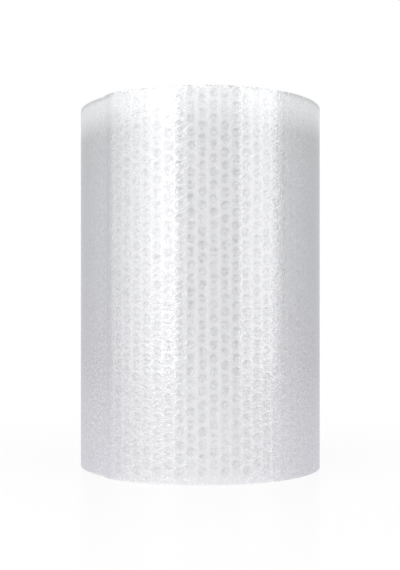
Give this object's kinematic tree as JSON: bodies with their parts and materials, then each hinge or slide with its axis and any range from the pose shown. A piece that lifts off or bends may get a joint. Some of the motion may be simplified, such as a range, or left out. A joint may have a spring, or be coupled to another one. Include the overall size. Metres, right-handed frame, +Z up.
{
  "type": "bubble wrap roll",
  "caption": "Coreless roll of clear small-bubble cushioning film, wound flat side out and standing on one end, with an open eye along its middle.",
  "frame": {"origin": "middle of the roll's outline at its base", "axes": "+Z up along the winding axis, -Y towards the viewer of the picture, with the loose end on the left of that side"},
  "size_m": [0.2034, 0.2058, 0.3],
  "materials": {
    "clear_film": "clear glossy film, milky where many turns lie on each other"
  },
  "bodies": {
    "root": {"bubble_film_roll": "clear_film"}
  },
  "joints": []
}
